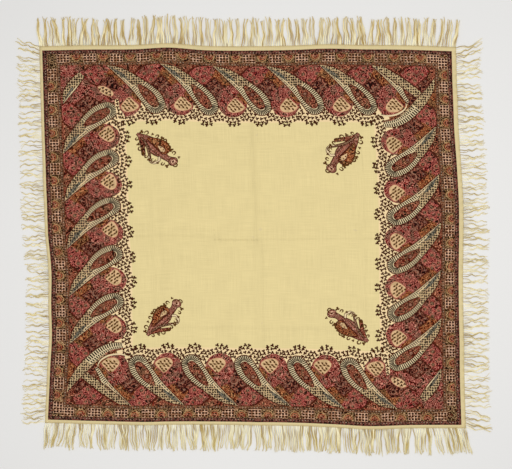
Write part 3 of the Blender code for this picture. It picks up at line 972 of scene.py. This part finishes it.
@dataclass(frozen=True)
class Crease:
    """One old fold pressed into the cloth.

    Args:
        start: where it starts, in steps across and down the print.
        end: where it ends.
        reach: how far it spreads to each side, in mm.
        height: how far it stands up along its middle, in mm.
        fold_shade_and_dirt: how much darker the cloth is there, as a share: painted shade along the fold,
            with some dirt.
        abrupt: whether its ends are sharp, as a tuck's are.
    """

    start: tuple[float, float]
    end: tuple[float, float]
    reach: float
    height: float
    fold_shade_and_dirt: float
    abrupt: bool = False


# A crease's fifth number darkens the cloth along it: painted shade, with some dirt; one of no height is only
# that darkening
CREASES = (
    Crease((207.8, 4), (208.3, 211), 7, 1.2, 0.036),
    Crease((207.8, 40), (208.3, 212), 26, 0.0, 0.024),
    Crease((213.4, 208), (213.8, 408), 6, 1.0, 0.032),
    Crease((211.0, 208), (211.0, 408), 24, 0.0, 0.018),
    Crease((4, 206), (168, 208.6), 9, 1.1, 0.036),
    Crease((165.8, 200.6), (166.0, 211.6), 3, 1.6, 0.090, True),
    Crease((165.8, 211.4), (209, 211.4), 3, 1.7, 0.10, True),
    Crease((208, 210.6), (262, 210.2), 6, 1.2, 0.050),
    Crease((258, 210.0), (408, 207.0), 8, 0.9, 0.035),
    Crease((96, 103.2), (318, 102.6), 5, 0.8, 0.020),
    Crease((112, 308.4), (300, 308.0), 16, 1.0, 0.026),
    Crease((312, 311), (408, 309), 7, 0.8, 0.030),
    Crease((316.6, 96), (317.4, 330), 6, 0.9, 0.030),
    Crease((112, 96), (113, 322), 26, 0.2, 0.024),
    Crease((104.6, 150), (105.4, 300), 6, 0.4, 0.012),
)


@dataclass
class ClothSheet:
    """The woven sheet with its print: a closed thin shell whose upper faces follow the print.

    Args:
        spread: how it lies.
        wall: its thickness, in metres.
        grain: the spacing of the points that carry its folds, in metres.
    """

    spread: Spread
    wall: float = 0.0010
    grain: float = 0.018

    # The grid's distance from the rim and between its rows, in spacings, and from a ridge, in reaches
    INSET, ROW, CLEAR, RIDGE_ROWS = 0.6, 0.87, 1.2, 7
    # The spacing of points along a crease, their places across it, and how far its ends fade out
    CREASE_GRAIN, CREASE_ROWS, FADES = 0.012, (-1.0, -0.5, -0.2, 0.0, 0.2, 0.5, 1.0), (0.040, 0.004)
    # The underside's spacing, in grains, and how close two points are one, in metres
    UNDER, SAME = 1.6, 1e-4
    # The baking map: room before the cloth and in all, in metres, the cloth's share and start, and the
    # underside's width and start
    BAKE_ROOM, BAKE_SHARE, BAKE_START, BAKE_STRIP = (0.02, 0.05), 0.93, 0.005, (0.055, 0.94)

    def rim(self) -> Array:
        """The points round the sheet's edge, in cut coordinates, anticlockwise."""
        left, low, right, top = self.spread.edges()
        across = np.linspace(left, right, round((right - left) / self.grain) + 1)[:-1]
        up = np.linspace(low, top, round((top - low) / self.grain) + 1)[:-1]
        return np.concatenate(
            [
                np.stack([across, np.full(len(across), low)], axis=1),
                np.stack([np.full(len(up), right), up], axis=1),
                np.stack([(left + right) - across, np.full(len(across), top)], axis=1),
                np.stack([np.full(len(up), left), (low + top) - up], axis=1),
            ]
        )

    def grid(self, spacing: float) -> Array:
        """Points inside the rim on a staggered grid, with rows along the fold ridges instead of it."""
        rim = self.rim()
        low, high = rim.min(axis=0) + self.INSET * spacing, rim.max(axis=0) - self.INSET * spacing
        across = np.linspace(low[0], high[0], round((high[0] - low[0]) / spacing) + 1)
        up = np.linspace(low[1], high[1], round((high[1] - low[1]) / (self.ROW * spacing)) + 1)
        x, y = np.meshgrid(across, up)
        x = x + (np.arange(len(up)) % 2 - 0.5)[:, None] * 0.5 * spacing
        loose = np.stack([x.ravel(), y.ravel()], axis=1)
        size = np.array([self.spread.width, self.spread.height])
        reach, lines = self.spread.fold_reach, []
        for way in (0, 1):
            for share in self.spread.fold_shares:
                away = np.abs(loose[:, way] - share * size[way])
                loose = loose[away > self.CLEAR * reach]
                along = np.linspace(low[1 - way], high[1 - way], round((high - low)[1 - way] / spacing) + 1)
                for step in np.linspace(-1, 1, self.RIDGE_ROWS):
                    line = np.full((len(along), 2), share * size[way] + step * reach)
                    line[:, 1 - way] = along
                    lines.append(line)
        return np.concatenate([loose, *lines])

    def crease_points(self) -> Array:
        """Rows of points along every crease, closer together near its middle."""
        rows = []
        for crease in CREASES:
            start, end, way, _ = self.crease_line(crease)
            along = np.linspace(0, 1, max(3, round(np.linalg.norm(end - start) / self.CREASE_GRAIN)))[:, None]
            for share in self.CREASE_ROWS:
                aside = share * crease.reach * MM * np.array([-way[1], way[0]])
                rows.append(start + (end - start) * along + aside)
        return np.concatenate(rows)

    def crease_line(self, crease: Crease) -> tuple[Array, Array, Array, float]:
        """A crease's start, end, direction and length in cut coordinates."""
        start, end = self.cut(crease.start), self.cut(crease.end)
        size = np.linalg.norm(end - start)
        return start, end, (end - start) / size, size

    def cut(self, places: Array) -> Array:
        """Steps across and down the print, as cut coordinates."""
        places = np.asarray(places, float)
        size = np.array([self.spread.width, self.spread.height])
        return (places * (1, -1) + (0, STEPS)) * size / STEPS

    def pressed(self, flat: Array) -> tuple[Array, Array]:
        """How high the creases stand and how much painted shade, with some dirt, darkens the cloth along
        them, at each point.

        A crease rises as the squared cosine of the distance from its line over its reach, and its
        ends fade out over 40 mm unless they are abrupt.
        """
        height, fold_shade_and_dirt = np.zeros(len(flat)), np.zeros(len(flat))
        for crease in CREASES:
            start, _, way, size = self.crease_line(crease)
            run = (flat - start) @ way
            beyond = np.maximum(np.maximum(-run, run - size), 0)
            ends = self.spread.bump(beyond, self.FADES[crease.abrupt])
            across = self.spread.bump((flat - start) @ np.array([-way[1], way[0]]), crease.reach * MM)
            height = np.maximum(height, crease.height * MM * across * ends)
            # Painted shade along each crease, with some dirt
            fold_shade_and_dirt = fold_shade_and_dirt + crease.fold_shade_and_dirt * across * ends
        return height, fold_shade_and_dirt

    def triangulate(self, points: Array, outlines: list) -> tuple[Array, Array, list]:
        """Cuts the sheet along outlines.

        Args:
            points: loose points to take in.
            outlines: closed outlines, each an array of points.

        Returns:
            The points, the triangles, and for each triangle the numbers of the outlines round it.
        """
        counts = [len(outline) for outline in outlines]
        starts = len(points) + np.concatenate([[0], np.cumsum(counts)[:-1]]).astype(int)
        places = np.concatenate([points, *outlines])
        loops = [list(range(start, start + count)) for start, count in zip(starts.tolist(), counts)]
        found = delaunay_2d_cdt([Vector(place) for place in places.tolist()], [], loops, 0, 1e-6)
        return np.array([tuple(place) for place in found[0]]), np.array(found[2]), found[5]

    def build(self, patches: list) -> bpy.types.Object:
        """Makes the sheet.

        Args:
            patches: the print's (ink, outline) pairs in painting order.

        Returns:
            The finished object.
        """
        spread = self.spread
        scale = np.array([spread.width, spread.height]) / STEPS
        outlines = [self.rim()]
        for _, outline in patches:
            flat = np.stack([outline[:, 0], STEPS - outline[:, 1]], axis=1) * scale
            turned = np.roll(flat, -1, axis=0)
            area = (flat[:, 0] * turned[:, 1] - flat[:, 1] * turned[:, 0]).sum()
            outlines.append(flat if area > 0 else flat[::-1])
        loose = np.concatenate([self.grid(self.grain), self.crease_points()])
        flat, faces, owners = self.triangulate(loose, outlines)
        inks = list(Inks)
        ink_of = np.array([0] + [inks.index(ink) for ink, _ in patches])
        inside = np.array([0 in owner for owner in owners])
        slot = np.array([ink_of[max(owner)] if owner else 0 for owner in owners])[inside]
        faces = faces[inside]
        rim = self.rim()
        low_flat, low_faces, low_owners = self.triangulate(self.grid(self.UNDER * self.grain), [rim])
        low_faces = low_faces[[0 in owner for owner in low_owners]]

        def raised(places: Array, up: float) -> Array:
            x, y, z = spread.lay(places[:, 0], places[:, 1])
            return np.stack([x, y, z + up], axis=1)

        height, fold_shade_and_dirt = self.pressed(flat)
        top, under = raised(flat, self.wall), raised(low_flat, 0.0)
        top[:, 2] += height
        edge_top = self.match(flat, rim)
        edge_low = self.match(low_flat, rim) + len(top)
        wall = np.stack([edge_low, np.roll(edge_low, -1), np.roll(edge_top, -1), edge_top], axis=1)
        mesh = bpy.data.meshes.new("shawl_cloth")
        mesh.from_pydata(
            np.concatenate([top, under]).tolist(),
            [],
            faces.tolist() + (low_faces[:, ::-1] + len(top)).tolist() + wall.tolist(),
        )
        mesh.polygons.foreach_set("use_smooth", np.ones(len(mesh.polygons), bool))
        indices = np.zeros(len(mesh.polygons), np.int32)
        indices[: len(slot)] = slot
        mesh.polygons.foreach_set("material_index", indices)
        self.map_print(mesh, np.concatenate([flat, low_flat]), len(faces))
        # The creases' painted shade, with some dirt, goes to the shaders as a point attribute
        shade = mesh.attributes.new("fold_shade_and_dirt", "FLOAT", "POINT")
        shade.data.foreach_set("value", np.concatenate([fold_shade_and_dirt, np.zeros(len(under))]).astype(np.float32))
        for ink in inks:
            mesh.materials.append(ink_material(ink.value))
        return placed("shawl_cloth", mesh)

    @classmethod
    def match(cls, places: Array, rim: Array) -> Array:
        """The number of each rim point among the places: the nearest one."""
        order = np.lexsort((places[:, 1], places[:, 0]))
        found = np.empty(len(rim), int)
        keys = places[order]
        start = np.searchsorted(keys[:, 0], rim[:, 0] - cls.SAME)
        end = np.searchsorted(keys[:, 0], rim[:, 0] + cls.SAME)
        for number, (first, last) in enumerate(zip(start, end)):
            gap = np.abs(keys[first:last] - rim[number]).sum(axis=1)
            found[number] = order[first + gap.argmin()]
        return found

    def map_print(self, mesh: bpy.types.Mesh, flat: Array, printed: int) -> None:
        """Two maps: Print gives cut coordinates in mm, and OFBake packs the sheet into one square, the
        printed side at its left and the plain underside squeezed into a strip at its right.

        Args:
            mesh: the sheet.
            flat: every point's cut coordinates.
            printed: how many of its first faces are the printed side.
        """
        corner = np.empty(len(mesh.loops), np.int32)
        mesh.loops.foreach_get("vertex_index", corner)
        face = np.repeat(np.arange(len(mesh.polygons)), [p.loop_total for p in mesh.polygons])
        layer = mesh.uv_layers.new(name="Print")
        layer.data.foreach_set("uv", (flat[corner] / MM).astype(np.float32).ravel())
        before, room = self.BAKE_ROOM
        size = max(self.spread.width, self.spread.height) + room
        packed = (flat[corner] + before) / size * self.BAKE_SHARE + self.BAKE_START
        other = face >= printed
        strip, start = self.BAKE_STRIP
        packed[other] = packed[other] * (strip, 1.0) + (start, 0)
        layer = mesh.uv_layers.new(name="OFBake")
        layer.data.foreach_set("uv", packed.astype(np.float32).ravel())


def placed(name: str, mesh: bpy.types.Mesh) -> bpy.types.Object:
    """Puts a mesh into the scene as an object at the origin."""
    made = bpy.data.objects.new(name, mesh)
    bpy.context.scene.collection.objects.link(made)
    return made


def tubes(name: str, paths: Array, radius: Array, sides: int = 5) -> bpy.types.Mesh:
    """Joins many closed tubes in one mesh: each ring is the path's point plus radius times the cosine
    along the sideways direction and the sine along the upward one.

    Args:
        name: the mesh's name.
        paths: the middle lines, as (tubes, points, 3).
        radius: the radius at each point, as (tubes, points).
        sides: how many sides each tube has.

    Returns:
        The mesh, with a map whose second part runs from 0 at each root to 1 at its tip.
    """
    count, points, _ = paths.shape
    run = np.gradient(paths, axis=1)
    run /= np.linalg.norm(run, axis=2)[..., None] + 1e-12
    sideways = np.cross(run, (0, 0, 1.0))
    sideways /= np.linalg.norm(sideways, axis=2)[..., None] + 1e-12
    upwards = np.cross(sideways, run)
    angle = np.linspace(0, 2 * math.pi, sides, endpoint=False)
    ring = (
        paths[:, :, None]
        + radius[..., None, None] * np.cos(angle)[:, None] * sideways[:, :, None]
        + radius[..., None, None] * np.sin(angle)[:, None] * upwards[:, :, None]
    )
    index = np.arange(count * points * sides).reshape(count, points, sides)
    after = np.roll(index, -1, axis=2)
    walls = np.stack([index[:, :-1], index[:, 1:], after[:, 1:], after[:, :-1]], axis=-1).reshape(-1, 4)
    ends = index[:, 0].tolist() + index[:, -1, ::-1].tolist()
    mesh = bpy.data.meshes.new(name)
    mesh.from_pydata(ring.reshape(-1, 3).tolist(), [], walls.tolist() + ends)
    mesh.polygons.foreach_set("use_smooth", np.ones(len(mesh.polygons), bool))
    corner = np.empty(len(mesh.loops), np.int32)
    mesh.loops.foreach_get("vertex_index", corner)
    along = corner // sides % points / (points - 1)
    layer = mesh.uv_layers.new(name="Along")
    which = corner // (sides * points) / count
    layer.data.foreach_set("uv", np.stack([which, along], axis=1).astype(np.float32).ravel())
    return mesh


class Tones(Enum):
    """A fringe's wool, as sRGB hex: most yarns, the tips, and the browner yarns, partly painted shade between
    yarns.
    """

    WARM = ("FFF6D0", "D4BA70", "BC9C54")
    COOL = ("FFF8D6", "DAC67E", "B89C56")
    PALE = ("FFF4CA", "E6D28C", "B0944C")


@dataclass
class Fringe:
    """The fringe of one side, as loose yarns that gather into locks.

    Args:
        spread: how the cloth lies.
        side: which side it grows from.
        length: the yarns' length, in metres.
        bunch: how narrow a lock is, as a share of its width at the roots.
        lean: how far the first and the last locks lean along the side, as shares of their length.
        tones: the colours of its wool.
        seed: the seed of its unevenness.
        locks: how many locks.
        yarns: how many yarns in a lock.
        thick: a yarn's radius, in metres.
        gather: between which two shares of its length a lock draws together.
        crimp: how far a yarn waves, in metres.
    """

    spread: Spread
    side: Side
    length: float
    bunch: float
    lean: tuple
    tones: Tones
    seed: int
    locks: int
    yarns: int
    thick: float
    gather: tuple
    crimp: float

    # How unevenly wide and tight the locks are, and how unevenly long the locks and the yarns are
    LOCK_WIDTHS, TIGHTNESS, LOCK_LENGTHS, LENGTHS = (0.6, 1.5), (0.6, 1.4), (0.92, 1.03), (0.93, 1.02)
    # The share of the side whose locks fan out, and how unevenly locks lean: at least, and per crimp
    FAN, LEANING = 0.12, (0.05, 12)
    # A lock's slow sway and a yarn's own drift, in metres, the fewest and most turns of the three waves,
    # and the third wave's height, in crimps
    SWAY, DRIFT, TURNS, FINE = 0.0030, 0.0022, ((0.4, 1.6, 4.0), (1.2, 3.4, 6.5)), 0.3
    # How far the tips hook, and where the hook starts and how long it is, as shares of the length
    HOOK, HOOK_RUN = 0.05, (0.72, 0.28)
    # Rings to a yarn, how thick they are, how much the tip thins, where the yarn reaches the floor, as a
    # share of its length, and how high yarns stack, in radii
    RINGS, RADII, THINNING, LIE, STACK = 17, (0.75, 1.25), 0.45, 0.7, 2.2
    # Steps of noise across the locks and along a yarn, between which of its values a yarn turns browner,
    # partly as painted shade between yarns, and where along the yarn its tip's colour comes in and how
    # strongly
    STREAKS, BROWNER, TIPWARD = (431.0, 1.1, 0.0), {1: 0.56, 2: 0.40}, {1: 0.10, 2: 0.95, 4: 0.65}

    def locks_along(self, random: np.random.Generator) -> tuple[Array, Array, Array]:
        """Each lock's middle along the side, its width and its lean, the outermost fanned out."""
        left, low, right, top = self.spread.edges()
        start, end = (left, right) if self.side in LEVEL else (low, top)
        width = random.uniform(*self.LOCK_WIDTHS, self.locks)
        width *= (end - start) / width.sum()
        middle = start + np.cumsum(width) - width / 2
        share = (middle - start) / (end - start)
        first, last = (np.maximum(0, 1 - away / self.FAN) for away in (share, 1 - share))
        lean = self.lean[0] * first + self.lean[1] * last
        least, each = self.LEANING
        return middle, width, lean + random.normal(0, least + each * self.crimp, self.locks)

    def paths(self) -> tuple[Array, Array]:
        """The yarns' middle lines and radii.

        Along the side, a yarn adds to its lock's middle its own place in the lock, which draws in
        towards the middle, three sine waves, the lock's lean and a small hook at the tip. Outwards it
        runs evenly, and it sinks from the cloth's height to the floor as a falling square. The waves
        grow in over its first third, and the heap of yarns over its first quarter.
        """
        random = np.random.default_rng(self.seed)
        middle, width, lean = (values[:, None, None] for values in self.locks_along(random))
        steps = np.linspace(0, 1, self.RINGS)
        shape = (self.locks, self.yarns, 1)
        root = ((np.arange(self.yarns) + 0.5) / self.yarns - 0.5)[None, :, None] * width
        tight = root * self.bunch * random.uniform(*self.TIGHTNESS, (self.locks, 1, 1))
        first, last = self.gather
        drawn = np.clip((steps - first) / (last - first), 0, 1)
        drawn = drawn * drawn * (3 - 2 * drawn)
        apart = root * (1 - drawn) + tight * drawn + random.normal(0, self.DRIFT, shape) * steps**2
        turns = random.uniform(*self.TURNS, (self.locks, self.yarns, 3))
        phase = random.uniform(0, 1, (self.locks, self.yarns, 3))
        for waves in (turns, phase):
            waves[:, :, :2] = waves[:, :1, :2]
        swing = np.array([self.SWAY, self.crimp, self.FINE * self.crimp])[:, None]
        wave = (np.sin(2 * math.pi * (turns[..., None] * steps + phase[..., None])) * swing).sum(axis=2)
        wave = wave * np.minimum(1, steps * 3)
        length = self.length * random.uniform(*self.LOCK_LENGTHS, (self.locks, 1, 1))
        length = length * random.uniform(*self.LENGTHS, shape)
        start, run = self.HOOK_RUN
        hook = random.normal(0, self.HOOK, shape) * np.clip((steps - start) / run, 0, 1) ** 2
        along = middle + apart + wave + (lean * steps + hook) * length
        out = self.spread.margin[self.side] - 0.001 + length * steps
        x, y, low = self.spread.lay(*self.spread.beyond(self.side, along, out))
        settle = low * (1 - np.clip(steps / self.LIE, 0, 1)) ** 2
        radius = self.thick * random.uniform(*self.RADII, shape) * (1 - self.THINNING * steps**4)
        radius = np.broadcast_to(radius, x.shape)
        stack = random.uniform(0, 1, shape) * self.thick * self.STACK * np.minimum(1, steps * 4)
        points = np.stack([x, y, settle + radius + stack], axis=-1)
        return points.reshape(-1, self.RINGS, 3), radius.reshape(-1, self.RINGS)

    def build(self) -> bpy.types.Object:
        """Makes the yarns and gives them their wool: loose, soft and fibrous, so that its nap glows.
        Some yarns are browner than the rest, partly their own tone and partly painted shade for the shadows
        between yarns, and all turn tanner towards their tips.
        """
        name = f"fringe_{self.side.value}"
        mesh = tubes(name, *self.paths())
        finish = Finish(f"loose_wool_{self.side.value}", 0.9, 0.6)
        node, colours = finish.node, {"data_type": "RGBA"}
        light, tip, shaded_tan = (srgb(tone) for tone in self.tones.value)
        along = node("ShaderNodeUVMap", {"uv_map": "Along"}).outputs[0]
        share = node("ShaderNodeSeparateXYZ", {}, {0: along}).outputs[1]
        drawn = node("ShaderNodeVectorMath", {"operation": "MULTIPLY", 1: self.STREAKS}, {0: along})
        noise = node("ShaderNodeTexNoise", {**NOISE, 2: 1.0, 3: 1.0}, {0: drawn.outputs[0]}).outputs[0]
        # Browner yarns: partly their own tone, partly painted shade standing in for the shadows between yarns
        brown_and_shaded = node("ShaderNodeMapRange", self.BROWNER, {0: noise}).outputs[0]
        yarn = node("ShaderNodeMix", {**colours, 6: light, 7: shaded_tan}, {0: brown_and_shaded}).outputs[2]
        late = node("ShaderNodeMapRange", self.TIPWARD, {0: share}).outputs[0]
        colour = node("ShaderNodeMix", {**colours, 7: tip}, {0: late, 6: yarn}).outputs[2]
        mesh.materials.append(finish.coloured(colour))
        return placed(name, mesh)


@dataclass
class Studio:
    """The pale floor, the soft even light and the camera straight above.

    Args:
        spread: how the cloth lies, for the middle of the view.
        distance: how high the camera is, in metres.
        frame_width: how much of the floor the photo's width shows, in metres.
        floor_half: half the floor's width, in metres.
        lamps: each one's name, place, size in metres and power in watts: a large one overhead and a
            weak one from the right.
        surround: the brightness of the pale surround.
    """

    spread: Spread
    distance: float = 7.0
    frame_width: float = PHOTO_WIDTH * STEP
    floor_half: float = 30.0
    lamps: tuple = (("overhead", (0.02, -0.16, 3.4), 3.0, 78.0), ("side", (2.6, 1.0, 1.7), 1.4, 6.0))
    surround: float = 0.55

    SENSOR, CLIP_END = 36.0, 100.0

    def floor(self) -> None:
        """A wide pale floor just under the cloth, painted matt."""
        mesh = bpy.data.meshes.new("floor")
        half = self.floor_half
        mesh.from_pydata([(x, y, 0) for x, y in box(-half, -half, half, half)], [], [(0, 1, 2, 3)])
        floor = placed("floor", mesh)
        mesh.materials.append(Finish("matt_studio_floor", 0.9, 0.0).material)
        shader = mesh.materials[0].node_tree.nodes["Principled BSDF"]
        shader.inputs["Base Color"].default_value = srgb("E6E5E3")

    def lights(self) -> None:
        """The soft lamps, aimed at the middle of the cloth, and the pale surround."""
        for name, place, size, power in self.lamps:
            lamp = bpy.data.lights.new(name, "AREA")
            lamp.size, lamp.energy = size, power
            made = placed(name, lamp)
            made.location = place
            made.rotation_euler = (-Vector(place)).to_track_quat("-Z", "Y").to_euler()
        bpy.context.scene.view_settings.view_transform = "Standard"
        world = bpy.data.worlds.new("studio")
        world.use_nodes = True
        background = world.node_tree.nodes["Background"].inputs
        background[0].default_value, background[1].default_value = srgb("F4F4F4"), self.surround
        bpy.context.scene.world = world

    def camera(self) -> None:
        """A long lens straight above, over the middle of the photo's frame."""
        camera = bpy.data.cameras.new("camera")
        camera.sensor_width, camera.clip_end = self.SENSOR, self.CLIP_END
        camera.lens = self.SENSOR * self.distance / self.frame_width
        made = placed("camera", camera)
        made.location = (*self.spread.shift, self.distance)
        bpy.context.scene.camera = made


def main() -> None:
    """Builds the cloth, the four fringes and the studio."""
    logging.basicConfig(level=logging.INFO, format="%(name)s: %(message)s")
    spread = Spread()
    cloth = ClothSheet(spread).build(PrintDesign().draw())
    LOG.info("cloth: %d faces", len(cloth.data.polygons))
    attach(cloth, "root")
    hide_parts("printed_panel")
    twisted = {"locks": 66, "yarns": 4, "thick": 0.0021, "gather": (0.0, 0.6), "crimp": 0.0008}
    crimped = {"locks": 112, "yarns": 2, "thick": 0.0013, "gather": (0.05, 0.5), "crimp": 0.0030}
    for side, length, bunch, lean, tones, seed in (
        (Side.TOP, 0.1135, 0.60, (-0.10, 0.10), Tones.WARM, 3),
        (Side.BOTTOM, 0.105, 0.78, (-0.25, 0.25), Tones.COOL, 4),
        (Side.LEFT, 0.096, 0.26, (-0.10, 0.22), Tones.PALE, 5),
        (Side.RIGHT, 0.106, 0.26, (-0.12, 0.34), Tones.PALE, 6),
    ):
        kind = twisted if side in LEVEL else crimped
        made = Fringe(spread, side, length, bunch, lean, tones, seed, **kind).build()
        LOG.info("%s: %d faces", made.name, len(made.data.polygons))
        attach(made, "root")
        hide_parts(f"margin_fringe_{side.value}")
    studio = Studio(spread)
    studio.floor()
    studio.lights()
    studio.camera()


if __name__ == "__main__":
    main()
